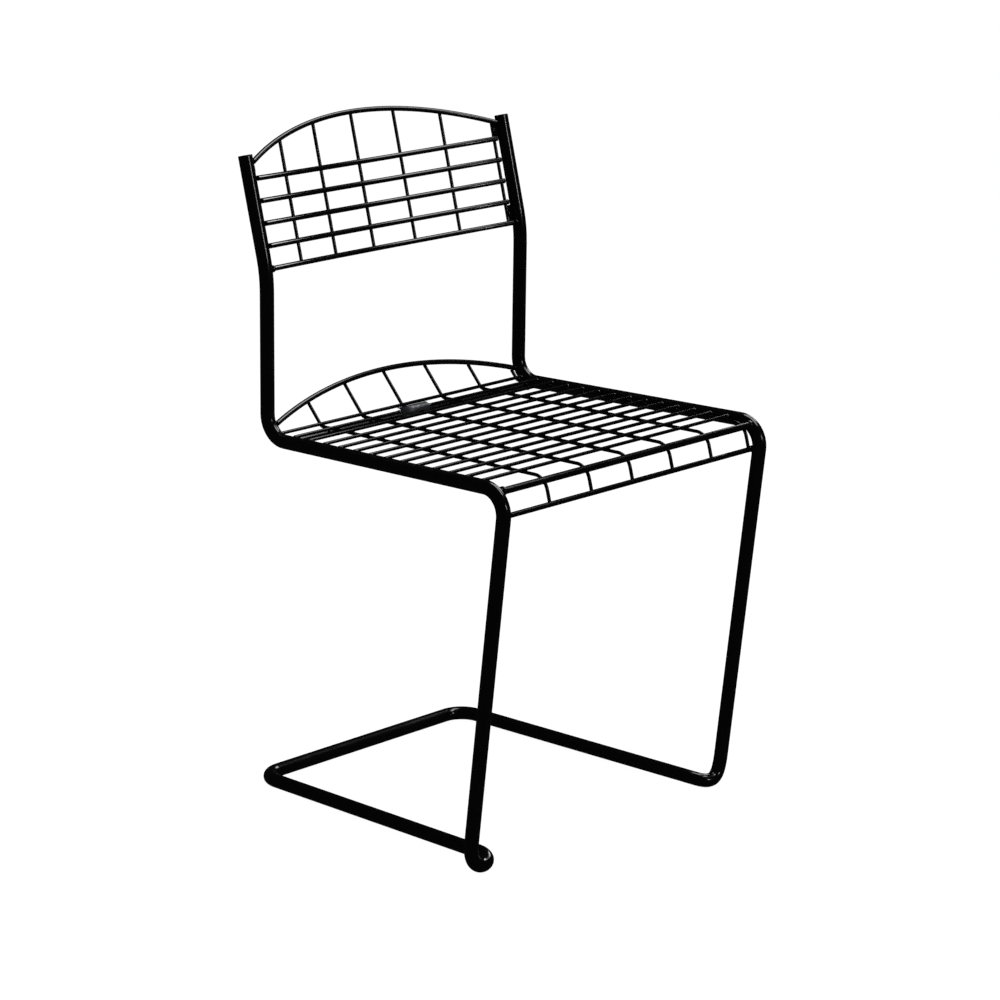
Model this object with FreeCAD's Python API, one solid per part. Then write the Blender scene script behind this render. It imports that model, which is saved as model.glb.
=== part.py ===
"""Wire mesh chair: two bent side tubes that carry a welded wire seat and a welded wire back.

Millimetres. +X is to the right as seen from the front, +Y runs from the front of the
chair to its back and +Z is up. The origin is on the floor, in the middle of the chair's
width and depth. Heights and depths below are those of tube and wire axes.
"""
import FreeCAD, Part
import math
import os

Vector = FreeCAD.Vector

# Side tubes
TUBE_D = 16.0
TUBE_WALL = 1.5
SEAT_BEND_R = 27.0
BASE_BEND_R = 27.0
KNEE_BEND_R = 150.0

# Seat rails, measured between the corners where their axes meet those of legs and posts
RAIL_DEPTH = 374.8
RAIL_FRONT_Z = 440.6
RAIL_REAR_Z = 431.1
FRONT_HALF_WIDTH = 206.5
REAR_HALF_WIDTH = 201.0

# Back posts
KNEE_Z = 616.3
KNEE_FORWARD = 3.5
POST_LEAN = 13.95
POST_LENGTH = 131.2

# Legs and floor runners
LEG_RAKE = 7.31
BASE_DEPTH = 437.5
RUNNER_FRONT_Y = 38.9
RUNNER_FRONT_HALF_WIDTH = 171.3
RUNNER_REAR_HALF_WIDTH = 165.0
RUNNER_FRONT_LIFT = 4.5
FOOT_LEG_REACH = 44.5
FOOT_RUNNER_REACH = 39.3

# Post end plugs
PLUG_CAP_T = 1.6
PLUG_STEM_L = 14.0
PLUG_EDGE_R = 0.8

# Wire sizes
WIRE_D = 4.0
ROD_D = 6.0
BAR_D = 8.0

# How far past a tube's inner side the welded bars and rods reach, before they are shaped to it
BAR_END_REACH = 4.0

# Seat mesh
SEAT_WIRE_RISE_FRONT = -1.0
SEAT_WIRE_RISE_REAR = 2.0
SEAT_LONG_COUNT = 5
SEAT_LONG_PITCH_FRONT = 65.3
SEAT_LONG_PITCH_REAR = 64.3
SEAT_SIDE_GAP = 2.2
SEAT_CROSS_COUNT = 14
SEAT_CROSS_FRONT_INSET = 27.9
SEAT_CROSS_REAR_INSET = 3.2
SEAT_CROSS_REACH = 1.5
FRONT_CORNER_Y = 16.7
FRONT_DROP = 28.9
FRONT_DROP_ANGLE = 75.0
FRONT_WIRE_BEND_R = 18.0
EDGE_BAR_ANGLE = 47.5
REAR_CORNER_INSET = 10.3
REAR_UPTURN_ANGLE = 48.0
REAR_WIRE_BEND_R = 6.0
REAR_ARCH_TOP = 49.9
REAR_ARCH_R = 520.0
REAR_ROD_INSET = 12.3

# Back mesh, with heights measured up the leaning posts from the knee
BACK_DISH_R = 554.0
BACK_EDGE_SET = 0.7
BACK_SIDE_GAP = 2.3
BACK_UPRIGHT_COUNT = 7
BACK_UPRIGHT_TAIL = 2.0
BACK_CROSS_COUNT = 5
BACK_CROSS_LOW_INSET = 5.6
BACK_CROSS_TOP_INSET = 25.3
BACK_ARCH_RISE = 57.7
BACK_ARCH_R = 485.0

# Welded tabs between back mesh and posts
LOWER_TAB_HEIGHT = 20.0
UPPER_TAB_BELOW_POST_END = 3.0
TAB_T = 3.0
TAB_ABOVE_CROSS_ROD = 1.4

# Sizes that follow from the ones above
TUBE_R = TUBE_D / 2
BORE_R = TUBE_R - TUBE_WALL
WIRE_R = WIRE_D / 2
ROD_R = ROD_D / 2
BAR_R = BAR_D / 2
CROSSING = WIRE_R + WIRE_R
ROD_CROSSING = ROD_R + WIRE_R
RAIL_FALL = (RAIL_FRONT_Z - RAIL_REAR_Z) / RAIL_DEPTH
RAIL_TAPER = (FRONT_HALF_WIDTH - REAR_HALF_WIDTH) / RAIL_DEPTH
KNEE_Y = RAIL_DEPTH - KNEE_FORWARD
REAR_CORNER_Y = RAIL_DEPTH - REAR_CORNER_INSET
POST_UP = Vector(0, math.sin(math.radians(POST_LEAN)), math.cos(math.radians(POST_LEAN)))
POST_REARWARD = Vector(0, math.cos(math.radians(POST_LEAN)), -math.sin(math.radians(POST_LEAN)))


def unit(vector):
    """Copy of a vector with length one."""
    return Vector(vector).normalize()


def setback(before, corner, after, radius):
    """Distance from a corner to where its tangent arc begins."""
    half_angle = unit(before - corner).getAngle(unit(after - corner)) / 2
    return radius / math.tan(half_angle)


def bend_centre(before, corner, after, radius):
    """Centre of the tangent arc that rounds a corner."""
    back = unit(before - corner)
    ahead = unit(after - corner)
    half_angle = back.getAngle(ahead) / 2
    return corner + unit(back + ahead) * (radius / math.sin(half_angle))


def rounded_path(points, radii):
    """Straight runs between points, joined at each inner point by a tangent arc."""
    edges = []
    start = points[0]
    for before, corner, after, radius in zip(points, points[1:], points[2:], radii):
        reach = setback(before, corner, after, radius)
        arc_start = corner + unit(before - corner) * reach
        arc_end = corner + unit(after - corner) * reach
        centre = bend_centre(before, corner, after, radius)
        arc_middle = centre + unit(corner - centre) * radius
        edges.append(Part.LineSegment(start, arc_start).toShape())
        edges.append(Part.Arc(arc_start, arc_middle, arc_end).toShape())
        start = arc_end
    edges.append(Part.LineSegment(start, points[-1]).toShape())
    return Part.Wire(edges)


def disc(point, direction, radius):
    """Flat round face across a direction."""
    return Part.Face(Part.Wire(Part.Circle(point, direction, radius).toShape()))


def bent_bar(points, radii, diameter):
    """Solid round bar bent along a rounded path."""
    profile = disc(points[0], points[1] - points[0], diameter / 2)
    return rounded_path(points, radii).makePipe(profile)


def straight_bar(start, end, diameter):
    """Solid round bar between two points."""
    run = end - start
    return Part.makeCylinder(diameter / 2, run.Length, start, run)


def curved_bar(points, diameter):
    """Solid round bar along a smooth curve through points."""
    curve = Part.BSplineCurve()
    curve.interpolate(points)
    path = Part.Wire(curve.toShape())
    start_direction = curve.tangent(curve.FirstParameter)[0]
    return path.makePipe(disc(points[0], start_direction, diameter / 2))


def mirrored(shape):
    """The same piece on the other side of the chair."""
    return shape.mirror(Vector(0, 0, 0), Vector(1, 0, 0))


def largest_solid(shape):
    """Body of a trimmed piece, without the offcuts."""
    return max(shape.Solids, key=lambda solid: solid.Volume)


# Corners of the right side tube's axis

def rail_point(y):
    """Point on the right seat rail's axis at a depth."""
    return Vector(FRONT_HALF_WIDTH - RAIL_TAPER * y, y, RAIL_FRONT_Z - RAIL_FALL * y)


def leg_point(z):
    """Point on the right leg's axis at a height."""
    run = (RAIL_FRONT_Z - z) * math.tan(math.radians(LEG_RAKE))
    return Vector(FRONT_HALF_WIDTH, run, z)


RUNNER_FRONT = Vector(RUNNER_FRONT_HALF_WIDTH, RUNNER_FRONT_Y, TUBE_R + RUNNER_FRONT_LIFT)
RUNNER_REAR = Vector(RUNNER_REAR_HALF_WIDTH, BASE_DEPTH, TUBE_R)


def foot_curve(corner):
    """Sweep of the foot from the leg, inward and rearward into the runner."""
    start = corner + unit(leg_point(RAIL_FRONT_Z) - corner) * FOOT_LEG_REACH
    end = RUNNER_FRONT + unit(RUNNER_REAR - RUNNER_FRONT) * FOOT_RUNNER_REACH
    curve = Part.BezierCurve()
    curve.setPoles([start, corner, RUNNER_FRONT, end])
    return curve


def foot_corner():
    """Corner at the foot of the leg's axis, set so that the sweep just rests on the floor."""
    low = -RAIL_FRONT_Z / 2
    high = TUBE_R + RUNNER_FRONT_LIFT
    for _ in range(40):
        middle = (low + high) / 2
        if foot_curve(leg_point(middle)).toShape().optimalBoundingBox(False).ZMin < TUBE_R:
            low = middle
        else:
            high = middle
    return leg_point(high)


KNEE = Vector(REAR_HALF_WIDTH, KNEE_Y, KNEE_Z)
POST_TOP = KNEE + POST_UP * POST_LENGTH
FOOT_CURVE = foot_curve(foot_corner())
UPPER_POINTS = [POST_TOP, KNEE, rail_point(RAIL_DEPTH), rail_point(0), FOOT_CURVE.StartPoint]
LOWER_POINTS = [FOOT_CURVE.EndPoint, RUNNER_REAR, Vector(0, BASE_DEPTH, TUBE_R)]


def right_tube_path():
    """Axis of the right side tube from the post's top to the middle of the rear floor bar."""
    upper = rounded_path(UPPER_POINTS, [KNEE_BEND_R, SEAT_BEND_R, SEAT_BEND_R])
    lower = rounded_path(LOWER_POINTS, [BASE_BEND_R])
    return Part.Wire(upper.Edges + [FOOT_CURVE.toShape()] + lower.Edges)


def right_tube_outline():
    """Space that the right side tube takes up, without its bore."""
    return right_tube_path().makePipe(disc(POST_TOP, POST_UP, TUBE_R))


def right_side_tube():
    """Tube bent from back post to seat rail, leg, floor runner and half the rear floor bar."""
    ring = disc(POST_TOP, POST_UP, TUBE_R).cut(disc(POST_TOP, POST_UP, BORE_R)).Faces[0]
    return right_tube_path().makePipe(ring)


def right_post_plug():
    """Cap with a stem that fills the top of the post's bore."""
    cap = Part.makeCylinder(TUBE_R, PLUG_CAP_T, POST_TOP, POST_UP)
    rim = [edge for edge in cap.Edges if (edge.CenterOfMass - POST_TOP).dot(POST_UP) > PLUG_CAP_T / 2
           and isinstance(edge.Curve, Part.Circle)]
    cap = cap.makeFillet(PLUG_EDGE_R, rim)
    stem = Part.makeCylinder(BORE_R, PLUG_STEM_L, POST_TOP, POST_UP * -1)
    return cap.fuse(stem).removeSplitter()


# Seat mesh

def seat_wire_z(y):
    """Height of the lengthwise seat wires at a depth."""
    rise = SEAT_WIRE_RISE_FRONT + (SEAT_WIRE_RISE_REAR - SEAT_WIRE_RISE_FRONT) * y / RAIL_DEPTH
    return rail_point(y).z + rise


def seat_side_x(y):
    """Distance from the middle to the side wire, which keeps its gap beside the rail."""
    return rail_point(y).x - TUBE_R - SEAT_SIDE_GAP - WIRE_R


FRONT_DROP_DIRECTION = Vector(0, -math.cos(math.radians(FRONT_DROP_ANGLE)),
                              -math.sin(math.radians(FRONT_DROP_ANGLE)))
UPTURN = Vector(0, math.cos(math.radians(REAR_UPTURN_ANGLE)), math.sin(math.radians(REAR_UPTURN_ANGLE)))
UPTURN_FORWARD = Vector(0, -UPTURN.z, UPTURN.y)
FRONT_CORNER = Vector(0, FRONT_CORNER_Y, seat_wire_z(FRONT_CORNER_Y))
REAR_CORNER = Vector(0, REAR_CORNER_Y, seat_wire_z(REAR_CORNER_Y))
LOWER_BAR = FRONT_CORNER + FRONT_DROP_DIRECTION * (FRONT_DROP / -FRONT_DROP_DIRECTION.z)


def rear_arch_height(x):
    """How far up the slope the rear arch is at a distance from the middle."""
    return REAR_ARCH_TOP - REAR_ARCH_R + math.sqrt(REAR_ARCH_R ** 2 - x ** 2)


def seat_long_wire(front_x, rear_x):
    """Lengthwise wire: up from the lower bar, over the front edge, along, and up to the arch."""
    front = Vector(front_x, 0, 0)
    rear = Vector(rear_x, 0, 0)
    points = [
        LOWER_BAR + front,
        FRONT_CORNER + front,
        REAR_CORNER + rear,
        REAR_CORNER + rear + UPTURN * rear_arch_height(rear_x),
    ]
    wire = bent_bar(points, [FRONT_WIRE_BEND_R, REAR_WIRE_BEND_R], WIRE_D)
    return wire.cut(lower_bar_outline())


def lower_bar_outline():
    """Space of the lower front bar, before its ends are shaped to the legs."""
    reach = Vector(FRONT_HALF_WIDTH - TUBE_R + BAR_END_REACH, 0, 0)
    return straight_bar(LOWER_BAR - reach, LOWER_BAR + reach, ROD_D)


def edge_bar_outline():
    """Space of the thick bar that lies outside the front bend of the lengthwise wires."""
    centre = bend_centre(LOWER_BAR, FRONT_CORNER, REAR_CORNER, FRONT_WIRE_BEND_R)
    angle = math.radians(EDGE_BAR_ANGLE)
    out = Vector(0, -math.sin(angle), math.cos(angle))
    axis = centre + out * (FRONT_WIRE_BEND_R + WIRE_R + BAR_R)
    reach = Vector(FRONT_HALF_WIDTH - TUBE_R + BAR_END_REACH, 0, 0)
    return straight_bar(axis - reach, axis + reach, BAR_D)


def rear_rod_outline():
    """Space of the cross rod under the rear of the lengthwise wires."""
    y = REAR_CORNER_Y - REAR_ROD_INSET
    axis = Vector(0, y, seat_wire_z(y) - WIRE_R - BAR_R)
    reach = Vector(rail_point(y).x - TUBE_R + BAR_END_REACH, 0, 0)
    return straight_bar(axis - reach, axis + reach, BAR_D)


def seat_cross_outline(index):
    """Space of one crosswise seat wire, whose ends run onto the shoulders of the rails."""
    first = FRONT_CORNER_Y + SEAT_CROSS_FRONT_INSET
    last = REAR_CORNER_Y - SEAT_CROSS_REAR_INSET
    y = first + (last - first) * index / (SEAT_CROSS_COUNT - 1)
    axis = Vector(0, y, seat_wire_z(y) + CROSSING)
    reach = Vector(rail_point(y).x - TUBE_R + SEAT_CROSS_REACH, 0, 0)
    return straight_bar(axis - reach, axis + reach, WIRE_D)


def between_tubes(shape, tubes):
    """Crosswise piece with its ends shaped to the side tubes that it is welded to."""
    return largest_solid(shape.cut(tubes))


def seat_rear_arch():
    """Bowed rod along the raised rear edge of the seat, in front of the wire ends."""
    reach = seat_side_x(REAR_CORNER_Y) + WIRE_R
    offset = UPTURN_FORWARD * ROD_CROSSING
    left = REAR_CORNER + UPTURN * rear_arch_height(-reach) + offset + Vector(-reach, 0, 0)
    top = REAR_CORNER + UPTURN * REAR_ARCH_TOP + offset
    right = REAR_CORNER + UPTURN * rear_arch_height(reach) + offset + Vector(reach, 0, 0)
    arch = Part.Arc(left, top, right)
    tangent = arch.tangent(arch.FirstParameter)[0]
    return Part.Wire(arch.toShape()).makePipe(disc(left, tangent, ROD_R))


# Back mesh

UPRIGHT_R = BACK_DISH_R + ROD_CROSSING
BACK_EDGE_X = REAR_HALF_WIDTH - TUBE_R - BACK_SIDE_GAP - WIRE_R
BACK_CENTRE_DEPTH = BACK_EDGE_SET - math.sqrt(BACK_DISH_R ** 2 - BACK_EDGE_X ** 2)
ARCH_END_X = BACK_EDGE_X + WIRE_R
CROSS_TOP_H = POST_LENGTH - BACK_CROSS_TOP_INSET


def back_point(x, height, radius):
    """Point of the dished back at a distance from the middle and a height up the posts."""
    depth = BACK_CENTRE_DEPTH + math.sqrt(radius ** 2 - x ** 2)
    return Vector(x, KNEE_Y, KNEE_Z) + POST_UP * height + POST_REARWARD * depth


def back_arch_height(x):
    """Height of the back's top rod at a distance from the middle."""
    return CROSS_TOP_H + BACK_ARCH_RISE - BACK_ARCH_R + math.sqrt(BACK_ARCH_R ** 2 - x ** 2)


def back_arch():
    """Top rod of the back, bowed upward and dished with the mesh."""
    steps = 12
    xs = [ARCH_END_X * (2 * step / steps - 1) for step in range(steps + 1)]
    return curved_bar([back_point(x, back_arch_height(x), BACK_DISH_R) for x in xs], ROD_D)


def cross_rod_height(index):
    """Height up the posts of one crosswise rod of the back."""
    return BACK_CROSS_LOW_INSET + (CROSS_TOP_H - BACK_CROSS_LOW_INSET) * index / (BACK_CROSS_COUNT - 1)


def back_cross_rod(height, half_width):
    """Dished crosswise rod of the back at one height."""
    ends = [back_point(side * half_width, height, BACK_DISH_R) for side in (-1, 1)]
    arc = Part.Arc(ends[0], back_point(0, height, BACK_DISH_R), ends[1])
    tangent = arc.tangent(arc.FirstParameter)[0]
    return Part.Wire(arc.toShape()).makePipe(disc(ends[0], tangent, ROD_R))


def back_upright(index):
    """Upright wire behind the crosswise rods, from the lowest one to the top rod."""
    x = BACK_EDGE_X * (2 * index / (BACK_UPRIGHT_COUNT - 1) - 1)
    bottom = back_point(x, BACK_CROSS_LOW_INSET - BACK_UPRIGHT_TAIL, UPRIGHT_R)
    top = back_point(x, back_arch_height(x), UPRIGHT_R)
    return straight_bar(bottom, top, WIRE_D)


def right_tab(bottom_height, top_height, neighbours):
    """Small plate that joins the mesh's side wire to the post, between two heights."""
    wire_axis = back_point(BACK_EDGE_X, bottom_height, UPRIGHT_R)
    post_axis = KNEE + POST_UP * bottom_height
    across = post_axis - wire_axis
    side = unit(across.cross(POST_UP))
    corner = wire_axis - side * (TAB_T / 2)
    corners = [corner, corner + across, corner + across + side * TAB_T, corner + side * TAB_T, corner]
    plate = Part.Face(Part.makePolygon(corners)).extrude(POST_UP * (top_height - bottom_height))
    return largest_solid(plate.cut(neighbours))


def build_parts():
    """All pieces of the chair by name, before the origin is moved to the middle of the floor."""
    parts = {}
    right_outline = right_tube_outline()
    tubes = [right_outline, mirrored(right_outline)]
    parts["right_side_tube"] = right_side_tube()
    parts["right_post_plug"] = right_post_plug()

    parts["seat_front_edge_bar"] = between_tubes(edge_bar_outline(), tubes)
    parts["seat_front_lower_bar"] = between_tubes(lower_bar_outline(), tubes)
    parts["seat_rear_cross_rod"] = between_tubes(rear_rod_outline(), tubes)
    parts["seat_rear_arch"] = seat_rear_arch()
    parts["right_seat_side_wire"] = seat_long_wire(seat_side_x(FRONT_CORNER_Y), seat_side_x(REAR_CORNER_Y))
    for index in range(SEAT_LONG_COUNT):
        step = index - (SEAT_LONG_COUNT - 1) / 2
        wire = seat_long_wire(step * SEAT_LONG_PITCH_FRONT, step * SEAT_LONG_PITCH_REAR)
        parts["seat_long_wire_%d" % (index + 1)] = wire
    for index in range(SEAT_CROSS_COUNT):
        parts["seat_cross_wire_%02d" % (index + 1)] = between_tubes(seat_cross_outline(index), tubes)

    parts["back_arch"] = back_arch()
    lowest_rod = back_cross_rod(cross_rod_height(0), REAR_HALF_WIDTH - TUBE_R + BAR_END_REACH)
    parts["back_cross_rod_1"] = between_tubes(lowest_rod, tubes)
    for index in range(1, BACK_CROSS_COUNT):
        parts["back_cross_rod_%d" % (index + 1)] = back_cross_rod(cross_rod_height(index), BACK_EDGE_X)
    uprights = [back_upright(index) for index in range(BACK_UPRIGHT_COUNT)]
    parts["right_back_side_wire"] = uprights[-1]
    for index, upright in enumerate(uprights[1:-1], 1):
        parts["back_upright_wire_%d" % index] = upright
    lower_tab_h = BACK_CROSS_LOW_INSET + TAB_ABOVE_CROSS_ROD
    lower_neighbours = [right_outline, uprights[-1], parts["back_cross_rod_1"]]
    parts["right_lower_back_tab"] = right_tab(lower_tab_h, lower_tab_h + LOWER_TAB_HEIGHT, lower_neighbours)
    upper_tab_top = POST_LENGTH - UPPER_TAB_BELOW_POST_END
    upper_neighbours = [right_outline, uprights[-1], parts["back_arch"]]
    parts["right_upper_back_tab"] = right_tab(CROSS_TOP_H, upper_tab_top, upper_neighbours)

    for name in [name for name in parts if name.startswith("right_")]:
        parts[name.replace("right_", "left_", 1)] = mirrored(parts[name])
    return parts


def centre_of_depth(parts):
    """Depth of the middle of the whole chair."""
    boxes = [shape.optimalBoundingBox(False) for shape in parts.values()]
    return (min(box.YMin for box in boxes) + max(box.YMax for box in boxes)) / 2


def main():
    """Write one file for each piece, with the origin on the floor under the chair's middle."""
    parts = build_parts()
    shift = Vector(0, -centre_of_depth(parts), 0)
    os.makedirs("parts", exist_ok=True)
    for name, shape in parts.items():
        solid = largest_solid(shape)
        solid.translate(shift)
        solid.exportStep("parts/%s.step" % name)


main()
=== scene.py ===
"""Studio picture of a black wire mesh chair with a bent tube frame.

The tubes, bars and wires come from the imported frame. This script gives them their gloss
paint, adds the weld beads, the resistance weld spots and the bare plate that is bent over
a crosswise wire near the rear of the seat, and lights the chair on a white floor. Sizes
are in metres and angles in degrees, unless a name says otherwise.
"""

import logging
import math
from dataclasses import dataclass, field
from enum import Enum
from typing import Any, Iterable

import bmesh
import bpy
from mathutils import Matrix, Vector


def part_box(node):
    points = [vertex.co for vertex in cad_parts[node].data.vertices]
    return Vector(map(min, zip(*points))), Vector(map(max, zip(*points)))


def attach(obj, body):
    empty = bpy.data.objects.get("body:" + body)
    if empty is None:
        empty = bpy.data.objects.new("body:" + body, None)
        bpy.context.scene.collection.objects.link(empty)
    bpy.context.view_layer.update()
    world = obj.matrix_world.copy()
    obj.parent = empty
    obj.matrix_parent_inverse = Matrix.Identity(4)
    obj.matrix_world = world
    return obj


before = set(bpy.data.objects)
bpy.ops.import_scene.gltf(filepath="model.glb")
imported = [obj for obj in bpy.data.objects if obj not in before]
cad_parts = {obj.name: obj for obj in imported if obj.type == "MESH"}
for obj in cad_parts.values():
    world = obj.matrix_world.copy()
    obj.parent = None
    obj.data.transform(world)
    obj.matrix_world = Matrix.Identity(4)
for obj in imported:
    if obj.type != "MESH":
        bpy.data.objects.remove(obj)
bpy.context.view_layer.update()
LOG = logging.getLogger("wire_chair")
MM_PER_METRE = 1000


@dataclass(frozen=True)
class Stock:
    """Round steel that the mesh is made from, and the welds that join it."""

    wire_radius: float = 0.002
    rod_radius: float = 0.003
    bar_radius: float = 0.004
    spot_radius: float = 0.0021
    spot_half_height: float = 0.0010
    bead_growth: float = 1.35


STOCK = Stock()


class WeldForm(Enum):
    """What a weld leaves behind where two pieces meet."""

    BEAD = "bead run round the end of a bar or wire"
    SPOT = "nugget squeezed out where two wires cross"


def linear_colour(hex_value: str) -> tuple[float, float, float, float]:
    """Turns an sRGB hex colour to linear values.

    Args:
        hex_value: Six hex digits after a hash sign.

    Returns:
        Red, green, blue and an alpha of 1.
    """
    channels = [int(hex_value[i:i + 2], 16) / 255 for i in (1, 3, 5)]
    linear = [c / 12.92 if c <= 0.04045 else ((c + 0.055) / 1.055) ** 2.4 for c in channels]
    return (linear[0], linear[1], linear[2], 1.0)


def add_node(
    material: bpy.types.Material | bpy.types.World,
    kind: str,
    settings: dict[str | int, Any] | None = None,
    links: dict[str | int, bpy.types.NodeSocket] | None = None,
) -> bpy.types.Node:
    """Adds one shader node with its settings and its incoming links.

    Args:
        material: The material or world that gets the node.
        kind: The node's type, such as ShaderNodeBump.
        settings: Attribute names, or input names or numbers, and their values.
        links: Input names or numbers and the output sockets that feed them.

    Returns:
        The new node.
    """
    tree = material.node_tree
    node = tree.nodes.new(kind)
    for name, value in (settings or {}).items():
        if isinstance(name, str) and name not in node.inputs:
            setattr(node, name, value)
        else:
            node.inputs[name].default_value = value
    for name, socket in (links or {}).items():
        tree.links.new(socket, node.inputs[name])
    return node


def new_material(name: str) -> bpy.types.Material:
    """Makes an empty node material.

    Args:
        name: What the finish is and how it was made.

    Returns:
        The material, with no nodes in it.
    """
    material = bpy.data.materials.new(name)
    material.use_nodes = True
    material.node_tree.nodes.clear()
    return material


@dataclass(frozen=True)
class GlossEnamel:
    """Black powder coat baked on steel, which levels out to a deep, glossy skin."""

    name: str = "black_powder_coat_baked_gloss"
    colour: str = "#030303"
    thin_colour: str = "#060606"
    ior: float = 1.5
    roughness_low: float = 0.13
    roughness_high: float = 0.18
    ripple_mm: float = 2.2
    ripple_height_mm: float = 0.004
    ripple_strength: float = 0.35
    ripple_detail: float = 2.0
    ripple_crispness: float = 0.45
    handling_mm: float = 60.0
    handling_detail: float = 3.0
    handling_crispness: float = 0.55
    handling_range: tuple[float, float] = (0.35, 0.7)

    def build(self) -> bpy.types.Material:
        """Builds the paint with its orange peel and its slightly duller handled areas.

        Returns:
            The finished material.
        """
        material = new_material(self.name)
        place = add_node(material, "ShaderNodeTexCoord")
        # Orange peel of baked powder has waves of 1 to 3 mm, which make highlights waver
        ripple = add_node(
            material, "ShaderNodeTexNoise",
            {"Scale": MM_PER_METRE / self.ripple_mm, "Detail": self.ripple_detail,
             "Roughness": self.ripple_crispness},
            {"Vector": place.outputs["Object"]},
        )
        peel = add_node(
            material, "ShaderNodeBump",
            {"Strength": self.ripple_strength, "Distance": self.ripple_height_mm / MM_PER_METRE},
            {"Height": ripple.outputs["Fac"]},
        )
        # Hands and cloths leave areas a few centimetres across that shine a little less
        handled = add_node(
            material, "ShaderNodeTexNoise",
            {"Scale": MM_PER_METRE / self.handling_mm, "Detail": self.handling_detail,
             "Roughness": self.handling_crispness},
            {"Vector": place.outputs["Object"]},
        )
        dullness = add_node(
            material, "ShaderNodeMapRange",
            {"From Min": self.handling_range[0], "From Max": self.handling_range[1],
             "To Min": self.roughness_low, "To Max": self.roughness_high},
            {"Value": handled.outputs["Fac"]},
        )
        # The coat is a shade thinner and greyer in places, as powder never lies quite even
        shade = add_node(
            material, "ShaderNodeMix",
            {"data_type": "RGBA", 6: linear_colour(self.colour),
             7: linear_colour(self.thin_colour)},
            {0: handled.outputs["Fac"]},
        )
        paint = add_node(
            material, "ShaderNodeBsdfPrincipled",
            {"IOR": self.ior, "Metallic": 0.0},
            {"Base Color": shade.outputs[2], "Roughness": dullness.outputs["Result"],
             "Normal": peel.outputs["Normal"]},
        )
        add_node(material, "ShaderNodeOutputMaterial", {}, {"Surface": paint.outputs["BSDF"]})
        return material


@dataclass(frozen=True)
class MouldedPlug:
    """Black polyethylene, moulded with a fine grain that leaves it matt and a shade greyer."""

    name: str = "polyethylene_moulded_matt"
    colour: str = "#0c0c0d"
    ior: float = 1.5
    roughness: float = 0.48
    grain_mm: float = 0.6
    grain_depth_mm: float = 0.03
    grain_strength: float = 0.4
    grain_detail: float = 1.0

    def build(self) -> bpy.types.Material:
        """Builds the grained plastic.

        Returns:
            The finished material.
        """
        material = new_material(self.name)
        place = add_node(material, "ShaderNodeTexCoord")
        # Spark-eroded moulds leave a grain of about 0.1 mm, drawn coarser so that it shows
        grain = add_node(
            material, "ShaderNodeTexNoise",
            {"Scale": MM_PER_METRE / self.grain_mm, "Detail": self.grain_detail},
            {"Vector": place.outputs["Object"]},
        )
        bump = add_node(
            material, "ShaderNodeBump",
            {"Strength": self.grain_strength, "Distance": self.grain_depth_mm / MM_PER_METRE},
            {"Height": grain.outputs["Fac"]},
        )
        plastic = add_node(
            material, "ShaderNodeBsdfPrincipled",
            {"Base Color": linear_colour(self.colour), "Roughness": self.roughness,
             "IOR": self.ior},
            {"Normal": bump.outputs["Normal"]},
        )
        add_node(material, "ShaderNodeOutputMaterial", {}, {"Surface": plastic.outputs["BSDF"]})
        return material


@dataclass(frozen=True)
class SatinPlate:
    """Rolled aluminium, brushed along its length and lacquered dark, with a soft sheen."""

    name: str = "aluminium_sheet_brushed_dark"
    colour: str = "#58595d"
    metallic: float = 0.9
    roughness: float = 0.42
    stripe_mm: float = 0.5
    stripe_depth_mm: float = 0.02
    stripe_strength: float = 0.25
    stripe_detail: float = 2.0
    stripe_squeeze: float = 0.04

    def build(self) -> bpy.types.Material:
        """Builds the brushed metal with its fine stripes across the chair.

        Returns:
            The finished material.
        """
        material = new_material(self.name)
        place = add_node(material, "ShaderNodeTexCoord")
        # Brush lines are about 0.1 mm apart, drawn at 0.5 mm so that they show
        stretch = add_node(
            material, "ShaderNodeMapping", {"Scale": (self.stripe_squeeze, 1.0, 1.0)},
            {"Vector": place.outputs["Object"]},
        )
        stripes = add_node(
            material, "ShaderNodeTexNoise",
            {"Scale": MM_PER_METRE / self.stripe_mm, "Detail": self.stripe_detail},
            {"Vector": stretch.outputs["Vector"]},
        )
        bump = add_node(
            material, "ShaderNodeBump",
            {"Strength": self.stripe_strength, "Distance": self.stripe_depth_mm / MM_PER_METRE},
            {"Height": stripes.outputs["Fac"]},
        )
        metal = add_node(
            material, "ShaderNodeBsdfPrincipled",
            {"Base Color": linear_colour(self.colour), "Roughness": self.roughness,
             "Metallic": self.metallic},
            {"Normal": bump.outputs["Normal"]},
        )
        add_node(material, "ShaderNodeOutputMaterial", {}, {"Surface": metal.outputs["BSDF"]})
        return material


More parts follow.
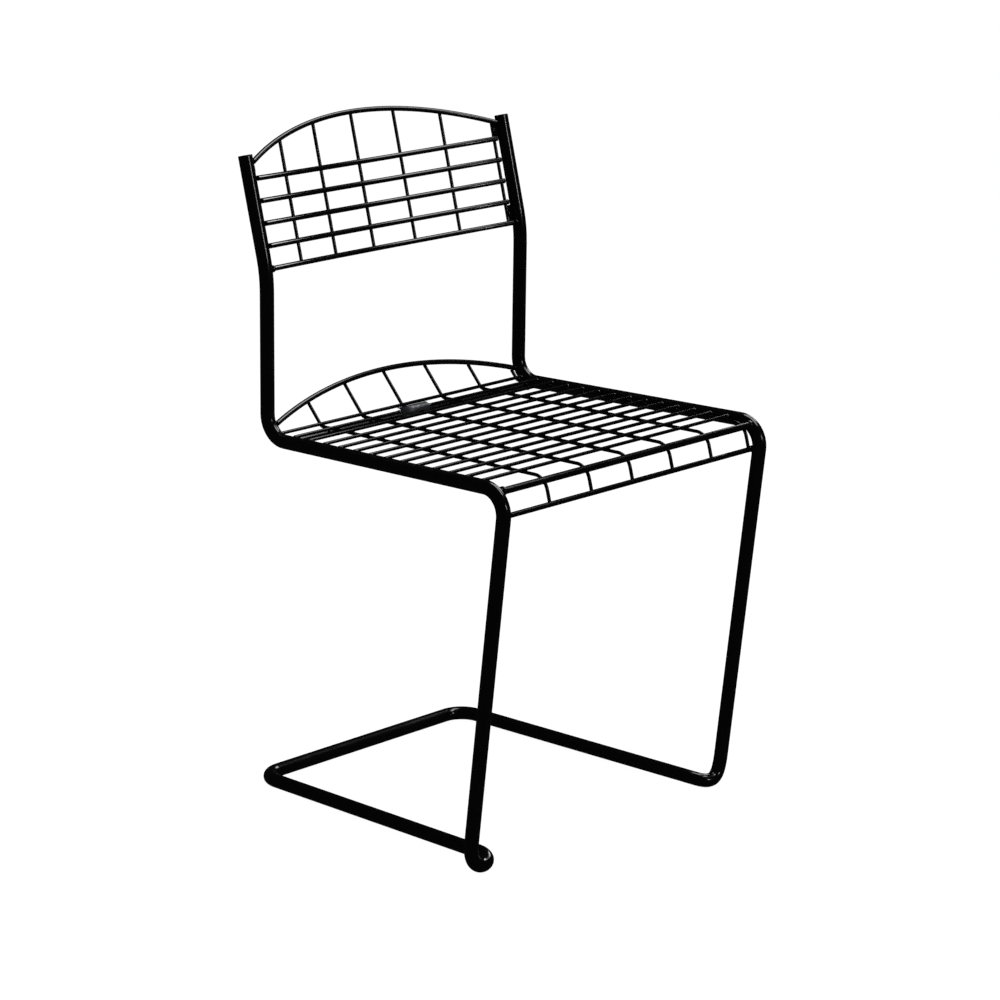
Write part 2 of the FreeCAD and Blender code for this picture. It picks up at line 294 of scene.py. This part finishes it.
@dataclass(frozen=True)
class StudioWhite:
    """Sweep of matt white paper that looks white and keeps a faint shadow of the chair."""

    name: str = "paper_sweep_matt_white"
    colour: str = "#f4f4f4"
    camera_share: float = 0.90
    camera_strength: float = 1.08
    mirrored_strength: float = 0.01

    def build(self) -> bpy.types.Material:
        """Builds the paper, whose shadows show to the camera through a share of its white.

        Returns:
            The finished material.
        """
        material = new_material(self.name)
        paper = add_node(
            material, "ShaderNodeBsdfDiffuse", {"Color": linear_colour(self.colour)},
        )
        ray = add_node(material, "ShaderNodeLightPath")
        share = add_node(
            material, "ShaderNodeMath",
            {"operation": "MULTIPLY_ADD", 1: self.camera_share},
            {0: ray.outputs["Is Camera Ray"], 2: ray.outputs["Is Glossy Ray"]},
        )
        # The paint stays black right down to the floor, so it mirrors almost no paper
        strength = add_node(
            material, "ShaderNodeMath",
            {"operation": "MULTIPLY_ADD", 1: self.mirrored_strength},
            {0: ray.outputs["Is Glossy Ray"], 2: ray.outputs["Is Camera Ray"]},
        )
        white = (self.camera_strength, self.camera_strength, self.camera_strength, 1.0)
        glow = add_node(
            material, "ShaderNodeEmission", {"Color": white},
            {"Strength": strength.outputs["Value"]},
        )
        mixed = add_node(
            material, "ShaderNodeMixShader", {},
            {"Fac": share.outputs["Value"], 1: paper.outputs["BSDF"], 2: glow.outputs["Emission"]},
        )
        add_node(material, "ShaderNodeOutputMaterial", {}, {"Surface": mixed.outputs["Shader"]})
        return material


@dataclass
class Finishes:
    """The materials of the chair, each made once."""

    enamel: bpy.types.Material = field(default_factory=lambda: GlossEnamel().build())
    plug: bpy.types.Material = field(default_factory=lambda: MouldedPlug().build())
    plate: bpy.types.Material = field(default_factory=lambda: SatinPlate().build())


def add_object(
    name: str,
    data: bpy.types.Mesh | bpy.types.Light | bpy.types.Camera,
    matrix: Matrix | None = None,
) -> bpy.types.Object:
    """Adds an object to the scene.

    Args:
        name: The object's name.
        data: The mesh, lamp or camera that it holds.
        matrix: Where a lamp or camera stands and how it is turned.

    Returns:
        The new object.
    """
    holder = bpy.data.objects.new(name, data)
    if matrix is not None:
        holder.matrix_world = matrix
    bpy.context.collection.objects.link(holder)
    return holder


def mesh_from(
    shape: bmesh.types.BMesh, name: str, material: bpy.types.Material,
) -> bpy.types.Mesh:
    """Turns a bmesh into a mesh of one finish.

    Args:
        shape: The shape, which is freed.
        name: The mesh's name.
        material: Its finish.

    Returns:
        The new mesh.
    """
    data = bpy.data.meshes.new(name)
    shape.to_mesh(data)
    shape.free()
    data.materials.append(material)
    return data


def finish_piece(
    shape: bmesh.types.BMesh, name: str, material: bpy.types.Material,
) -> None:
    """Turns a bmesh into a smooth piece that rides with the chair.

    Args:
        shape: The piece's shape, in place. It is freed.
        name: The piece's name.
        material: Its finish.
    """
    bmesh.ops.recalc_face_normals(shape, faces=shape.faces)
    for face in shape.faces:
        face.smooth = True
    data = mesh_from(shape, name, material)
    piece = add_object(name, data)
    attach(piece, "root")
    LOG.info("%s: %d faces", name, len(data.polygons))


def dress(names: Iterable[str], material: bpy.types.Material) -> None:
    """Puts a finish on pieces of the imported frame.

    Args:
        names: The frame's node names.
        material: The finish that takes every slot of theirs.
    """
    for name in names:
        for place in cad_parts[name].material_slots:
            place.material = material
        LOG.info("%s: %s", name, material.name)


def middle_of(name: str) -> Vector:
    """Middle of a frame node's box."""
    low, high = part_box(name)
    return (low + high) / 2


def tilted(angle: float) -> Matrix:
    """Turn by an angle about the crosswise axis."""
    return Matrix.Rotation(math.radians(angle), 3, "X")


def fall_of_arc(radius: float, x: float) -> float:
    """How far an arc has fallen away from its crown at a distance from the middle."""
    return radius - math.sqrt(radius ** 2 - x ** 2)


@dataclass
class WeldGroup:
    """Welds of one form on one sub-assembly, which make one piece together."""

    name: str
    form: WeldForm
    shape: bmesh.types.BMesh = field(default_factory=bmesh.new)
    bead_sides: int = 16
    bead_rings: int = 10

    def add(self, place: Vector, radii: Vector, tilt: float = 0.0) -> None:
        """Adds one weld, as a flattened blob of set metal. The many spots have few faces.

        Args:
            place: The weld's middle.
            radii: Its half sizes along its own axes.
            tilt: How far it is turned about the crosswise axis.
        """
        matrix = (
            Matrix.Translation(place) @ tilted(tilt).to_4x4() @ Matrix.Diagonal(radii).to_4x4()
        )
        if self.form is WeldForm.SPOT:
            bmesh.ops.create_icosphere(self.shape, subdivisions=1, radius=1.0, matrix=matrix)
        else:
            bmesh.ops.create_uvsphere(
                self.shape, u_segments=self.bead_sides, v_segments=self.bead_rings,
                radius=1.0, matrix=matrix,
            )

    def add_round_ends(self, name: str, radius: float, y: float, z: float) -> None:
        """Adds the beads that run round both ends of a bar or rod.

        Args:
            name: The bar's node name.
            radius: Its radius.
            y: How far back its ends are.
            z: How high they are.
        """
        low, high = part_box(name)
        grown = radius * STOCK.bead_growth
        for x in (low.x + radius, high.x - radius):
            self.add(Vector((x, y, z)), Vector((radius, grown, grown)))

    def finish(self, finishes: Finishes) -> None:
        """Paints the welds as one piece."""
        finish_piece(self.shape, self.name, finishes.enamel)


@dataclass
class SideFrames:
    """The two bent side tubes and the plugs in their post ends."""

    sides: tuple[str, str] = ("left", "right")

    def build(self, finishes: Finishes) -> None:
        """Paints the tubes and gives the plugs their moulded grain.

        Args:
            finishes: The chair's materials.
        """
        dress([f"{side}_side_tube" for side in self.sides], finishes.enamel)
        dress([f"{side}_post_plug" for side in self.sides], finishes.plug)


@dataclass
class SeatMesh:
    """The welded wire seat, with its front bars, rear rod and rear arch."""

    cross_count: int = 14
    long_count: int = 5
    edge_bar: str = "seat_front_edge_bar"
    lower_bar: str = "seat_front_lower_bar"
    rear_rod: str = "seat_rear_cross_rod"
    rear_arch: str = "seat_rear_arch"
    edge_bar_angle: float = 47.5
    front_drop_angle: float = 75.0
    upturn_angle: float = 48.0
    arch_radius: float = 0.520
    bead_radii: tuple[float, float, float] = (0.0020, 0.0034, 0.0021)
    bead_sag: float = 0.0005

    def cross_names(self) -> list[str]:
        """Names of the crosswise wires, from the front."""
        return [f"seat_cross_wire_{index:02d}" for index in range(1, self.cross_count + 1)]

    def long_names(self) -> list[str]:
        """Names of the lengthwise wires, from left to right."""
        inner = [f"seat_long_wire_{index}" for index in range(1, self.long_count + 1)]
        return ["left_seat_side_wire", *inner, "right_seat_side_wire"]

    def build(self, finishes: Finishes) -> None:
        """Paints every wire, bar and rod, and adds the welds.

        Args:
            finishes: The chair's materials.
        """
        bars = [self.edge_bar, self.lower_bar, self.rear_rod, self.rear_arch]
        dress([*self.cross_names(), *self.long_names(), *bars], finishes.enamel)
        self.build_spots(finishes)
        self.build_beads(finishes)

    def wire_x(self, name: str, y: float) -> float:
        """Where a lengthwise wire is across the chair at a depth.

        Args:
            name: The wire's node name.
            y: The depth.

        Returns:
            Its distance to the right of the middle.
        """
        low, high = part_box(name)
        inner, outer = low.x + STOCK.wire_radius, high.x - STOCK.wire_radius
        front_x, rear_x = (outer, inner) if low.x + high.x > 0 else (inner, outer)
        front_y = middle_of(self.edge_bar).y
        rear_y = middle_of(self.cross_names()[-1]).y
        return front_x + (rear_x - front_x) * (y - front_y) / (rear_y - front_y)

    def contacts(self) -> list[tuple[Vector, float]]:
        """Where the lengthwise wires touch each crosswise piece but the arch.

        Returns:
            Each contact's depth and height, and how far it is tilted.
        """
        under = Vector((0, 0, -STOCK.wire_radius))
        found = [(middle_of(name) + under, 0.0) for name in self.cross_names()]
        found.append((middle_of(self.rear_rod) + Vector((0, 0, STOCK.bar_radius)), 0.0))
        angle = math.radians(self.edge_bar_angle)
        inward = Vector((0, math.sin(angle), -math.cos(angle))) * STOCK.bar_radius
        found.append((middle_of(self.edge_bar) + inward, self.edge_bar_angle))
        drop = math.radians(self.front_drop_angle)
        upward = Vector((0, math.cos(drop), math.sin(drop))) * STOCK.rod_radius
        found.append((middle_of(self.lower_bar) + upward, 90 - self.front_drop_angle))
        return found

    def build_spots(self, finishes: Finishes) -> None:
        """Builds the nuggets of the resistance welds, wherever a wire crosses a wire or a bar.

        Args:
            finishes: The chair's materials.
        """
        spots = WeldGroup("seat_weld_spots", WeldForm.SPOT)
        flat = Vector((STOCK.spot_radius, STOCK.spot_radius, STOCK.spot_half_height))
        for place, tilt in self.contacts():
            for name in self.long_names():
                spots.add(Vector((self.wire_x(name, place.y), place.y, place.z)), flat, tilt)
        slope = math.radians(self.upturn_angle)
        up = Vector((0, math.cos(slope), math.sin(slope)))
        behind = Vector((0, math.sin(slope), -math.cos(slope)))
        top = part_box(self.rear_arch)[1]
        crown = Vector((0, top.y - STOCK.rod_radius, top.z - STOCK.rod_radius))
        rear_y = middle_of(self.cross_names()[-1]).y
        for name in self.long_names():
            x = self.wire_x(name, rear_y)
            fall = fall_of_arc(self.arch_radius, x)
            spot = crown - up * fall + behind * STOCK.rod_radius + Vector((x, 0, 0))
            spots.add(spot, flat, self.upturn_angle)
        spots.finish(finishes)

    def build_beads(self, finishes: Finishes) -> None:
        """Builds the beads that run round the ends of the crosswise pieces at the side tubes.

        Args:
            finishes: The chair's materials.
        """
        beads = WeldGroup("seat_weld_beads", WeldForm.BEAD)
        for name in self.cross_names():
            low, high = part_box(name)
            middle = middle_of(name)
            for x in (low.x + self.bead_radii[0], high.x - self.bead_radii[0]):
                place = Vector((x, middle.y, middle.z - self.bead_sag))
                beads.add(place, Vector(self.bead_radii))
        thick = {
            self.edge_bar: STOCK.bar_radius,
            self.lower_bar: STOCK.rod_radius,
            self.rear_rod: STOCK.bar_radius,
        }
        for name, radius in thick.items():
            middle = middle_of(name)
            beads.add_round_ends(name, radius, middle.y, middle.z)
        beads.finish(finishes)


@dataclass
class BackMesh:
    """The dished wire back between the posts, with its top arch and four tabs."""

    rod_count: int = 5
    upright_count: int = 5
    arch: str = "back_arch"
    dish_radius: float = 0.554
    arch_radius: float = 0.485
    lean: float = 13.95
    tab_bead_radii: tuple[float, float, float] = (0.0013, 0.0022, 0.0080)

    def rod_names(self) -> list[str]:
        """Names of the crosswise rods, from the lowest."""
        return [f"back_cross_rod_{index}" for index in range(1, self.rod_count + 1)]

    def upright_names(self) -> list[str]:
        """Names of the upright wires, from left to right."""
        inner = [f"back_upright_wire_{index}" for index in range(1, self.upright_count + 1)]
        return ["left_back_side_wire", *inner, "right_back_side_wire"]

    def tab_names(self) -> list[str]:
        """Names of the welded tabs."""
        levels = ("lower", "upper")
        return [f"{side}_{level}_back_tab" for side in ("left", "right") for level in levels]

    def build(self, finishes: Finishes) -> None:
        """Paints every rod, wire and tab, and adds the welds.

        Args:
            finishes: The chair's materials.
        """
        names = [*self.rod_names(), *self.upright_names(), *self.tab_names(), self.arch]
        dress(names, finishes.enamel)
        self.build_spots(finishes)
        self.build_beads(finishes)

    def build_spots(self, finishes: Finishes) -> None:
        """Builds the nuggets where the upright wires cross the rods and the arch.

        Args:
            finishes: The chair's materials.
        """
        spots = WeldGroup("back_weld_spots", WeldForm.SPOT)
        flat = Vector((STOCK.spot_radius, STOCK.spot_half_height, STOCK.spot_radius))
        angle = math.radians(self.lean)
        up = Vector((0, math.sin(angle), math.cos(angle)))
        rearward = Vector((0, math.cos(angle), -math.sin(angle)))
        for name in [*self.rod_names(), self.arch]:
            low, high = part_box(name)
            bowed = name == self.arch
            axis_z = high.z - STOCK.rod_radius if bowed else low.z + STOCK.rod_radius
            axis = Vector((0, high.y - STOCK.rod_radius, axis_z))
            for wire in self.upright_names():
                x = middle_of(wire).x
                dish = fall_of_arc(self.dish_radius, x)
                fall = fall_of_arc(self.arch_radius, x) if bowed else 0.0
                spot = axis - rearward * (dish - STOCK.rod_radius) - up * fall + Vector((x, 0, 0))
                spots.add(spot, flat, -self.lean)
        spots.finish(finishes)

    def build_beads(self, finishes: Finishes) -> None:
        """Builds the beads along both edges of each tab and round the lowest rod's ends.

        Args:
            finishes: The chair's materials.
        """
        beads = WeldGroup("back_weld_beads", WeldForm.BEAD)
        for name in self.tab_names():
            low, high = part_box(name)
            middle = middle_of(name)
            for x in (low.x, high.x):
                place = Vector((x, middle.y, middle.z))
                beads.add(place, Vector(self.tab_bead_radii), -self.lean)
        lowest = self.rod_names()[0]
        low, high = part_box(lowest)
        radius = STOCK.rod_radius
        beads.add_round_ends(lowest, radius, low.y + radius, high.z - radius)
        beads.finish(finishes)


@dataclass
class BarePlate:
    """Bare half-round plate, bent over a crosswise wire near the rear of the seat."""

    wire: str = "seat_cross_wire_13"
    left: float = -0.032
    right: float = 0.012
    outer_radius: float = 0.0063
    thickness: float = 0.0008
    bend_angle: float = 150.0
    rear_angle: float = 110.0
    behind_wire: float = 0.0027
    below_wire: float = 0.0020
    bend_steps: int = 14
    tack_radii: tuple[float, float, float] = (0.0034, 0.0030, 0.0024)
    tack_gap: float = 0.0015

    def build(self, finishes: Finishes) -> None:
        """Bends a strip of sheet round the wire, and tacks it on at both ends.

        Args:
            finishes: The chair's materials.
        """
        wire = middle_of(self.wire)
        centre = Vector((0, wire.y + self.behind_wire, wire.z - self.below_wire))
        # A unit square becomes the sheet's cut edge, which the spin carries round the bend
        edge = Matrix.Diagonal((self.right - self.left, self.thickness, 1.0)).to_4x4()
        middle_radius = self.outer_radius - self.thickness / 2
        start = Vector(((self.left + self.right) / 2, centre.y + middle_radius, centre.z))
        shape = bmesh.new()
        bmesh.ops.create_grid(
            shape, x_segments=1, y_segments=1, size=0.5, matrix=Matrix.Translation(start) @ edge,
        )
        bmesh.ops.rotate(
            shape, cent=centre, matrix=tilted(180 - self.rear_angle), verts=shape.verts,
        )
        bmesh.ops.spin(
            shape, geom=shape.faces[:], cent=centre, axis=(1, 0, 0), dvec=(0, 0, 0),
            angle=math.radians(self.bend_angle), steps=self.bend_steps, use_duplicate=False,
        )
        finish_piece(shape, "bare_plate", finishes.plate)
        tacks = WeldGroup("bare_plate_tacks", WeldForm.BEAD)
        for x in (self.left - self.tack_gap, self.right + self.tack_gap):
            tacks.add(Vector((x, wire.y, wire.z)), Vector(self.tack_radii))
        tacks.finish(finishes)


@dataclass(frozen=True)
class Softbox:
    """One area lamp, aimed at a point of the chair."""

    name: str
    place: tuple[float, float, float]
    aim: tuple[float, float, float]
    long_side: tuple[float, float, float]
    length: float
    width: float
    radiance: float

    def build(self) -> None:
        """Builds the lamp and aims it."""
        lamp = bpy.data.lights.new(self.name, "AREA")
        lamp.shape = "RECTANGLE"
        lamp.size = self.length
        lamp.size_y = self.width
        lamp.energy = self.radiance * math.pi * self.length * self.width
        place = Vector(self.place)
        away = (place - Vector(self.aim)).normalized()
        across = away.cross(Vector(self.long_side)).normalized()
        turn = Matrix((across.cross(away), across, away)).transposed()
        add_object(self.name, lamp, Matrix.Translation(place) @ turn.to_4x4())
        LOG.info("%s: %.0f W", self.name, lamp.energy)


@dataclass
class Studio:
    """White sweep, lamps and the camera at the photo's angle."""

    camera_place: tuple[float, float, float] = (-2.6803, -2.6168, 1.3698)
    camera_yaw: float = -45.8182
    camera_pitch: float = 15.3991
    camera_reach: float = 100.0
    lens_mm: float = 123.67
    sensor_mm: float = 36.0
    image_pixels: float = 1000.0
    principal_point: tuple[float, float] = (499.02, 509.38)
    floor_size: float = 40.0
    world_strength: float = 0.60
    camera_strength: float = 1.0
    mirrored_strength: float = 0.01
    lamps: tuple[Softbox, ...] = (
        Softbox(
            "right_upper_softbox", (0.97, -0.20, 2.05), (0.0, -0.05, 0.45), (0.0, 0.97, 0.20),
            length=1.7, width=0.5, radiance=6.0,
        ),
        Softbox(
            "right_lower_softbox", (1.95, 0.35, 1.45), (0.1, 0.2, 0.70), (0.0, 1.0, 0.0),
            length=0.9, width=0.5, radiance=6.5,
        ),
        Softbox(
            "front_strip", (0.98, -3.71, 1.62), (0.0, 0.17, 0.68), (0.0, 0.0, 1.0),
            length=0.76, width=0.12, radiance=40.0,
        ),
    )

    def build_floor(self) -> None:
        """Lays the paper that the chair stands on."""
        shape = bmesh.new()
        bmesh.ops.create_grid(shape, x_segments=1, y_segments=1, size=self.floor_size / 2)
        data = mesh_from(shape, "studio_floor", StudioWhite().build())
        add_object("studio_floor", data)

    def build_world(self) -> None:
        """Lights the set from all round, and shows it as white to the camera."""
        world = bpy.data.worlds.new("studio_world")
        world.use_nodes = True
        world.node_tree.nodes.clear()
        bpy.context.scene.world = world
        ray = add_node(world, "ShaderNodeLightPath")
        # The gloss paint shows the softboxes and hardly any of the room, so it stays black
        mirrored = add_node(
            world, "ShaderNodeMix",
            {"data_type": "FLOAT", 2: self.world_strength, 3: self.mirrored_strength},
            {0: ray.outputs["Is Glossy Ray"]},
        )
        seen = add_node(
            world, "ShaderNodeMix", {"data_type": "FLOAT", 3: self.camera_strength},
            {0: ray.outputs["Is Camera Ray"], 2: mirrored.outputs[0]},
        )
        air = add_node(
            world, "ShaderNodeBackground", {"Color": (1.0, 1.0, 1.0, 1.0)},
            {"Strength": seen.outputs[0]},
        )
        add_node(world, "ShaderNodeOutputWorld", {}, {"Surface": air.outputs["Background"]})

    def build_camera(self) -> None:
        """Sets the camera where the photo's was."""
        camera = bpy.data.cameras.new("photo_camera")
        camera.lens = self.lens_mm
        camera.sensor_width = self.sensor_mm
        half = self.image_pixels / 2
        camera.shift_x = -(self.principal_point[0] - half) / self.image_pixels
        camera.shift_y = (self.principal_point[1] - half) / self.image_pixels
        camera.clip_end = self.camera_reach
        yaw, pitch = math.radians(self.camera_yaw), math.radians(self.camera_pitch)
        level = math.cos(pitch)
        back = Vector((math.sin(yaw) * level, -math.cos(yaw) * level, math.sin(pitch)))
        right = Vector((math.cos(yaw), math.sin(yaw), 0.0))
        turn = Matrix((right, back.cross(right), back)).transposed()
        place = Matrix.Translation(self.camera_place) @ turn.to_4x4()
        bpy.context.scene.camera = add_object("photo_camera", camera, place)

    def build(self) -> None:
        """Builds the floor, the world, the lamps and the camera."""
        self.build_floor()
        self.build_world()
        for lamp in self.lamps:
            lamp.build()
        self.build_camera()
        bpy.context.scene.view_settings.view_transform = "Standard"


def main() -> None:
    """Dresses the chair, builds its welds and plate, and sets up the studio."""
    logging.basicConfig(level=logging.INFO, format="%(name)s %(message)s")
    finishes = Finishes()
    for assembly in (SideFrames(), SeatMesh(), BackMesh(), BarePlate()):
        assembly.build(finishes)
    Studio().build()


if __name__ == "__main__":
    main()
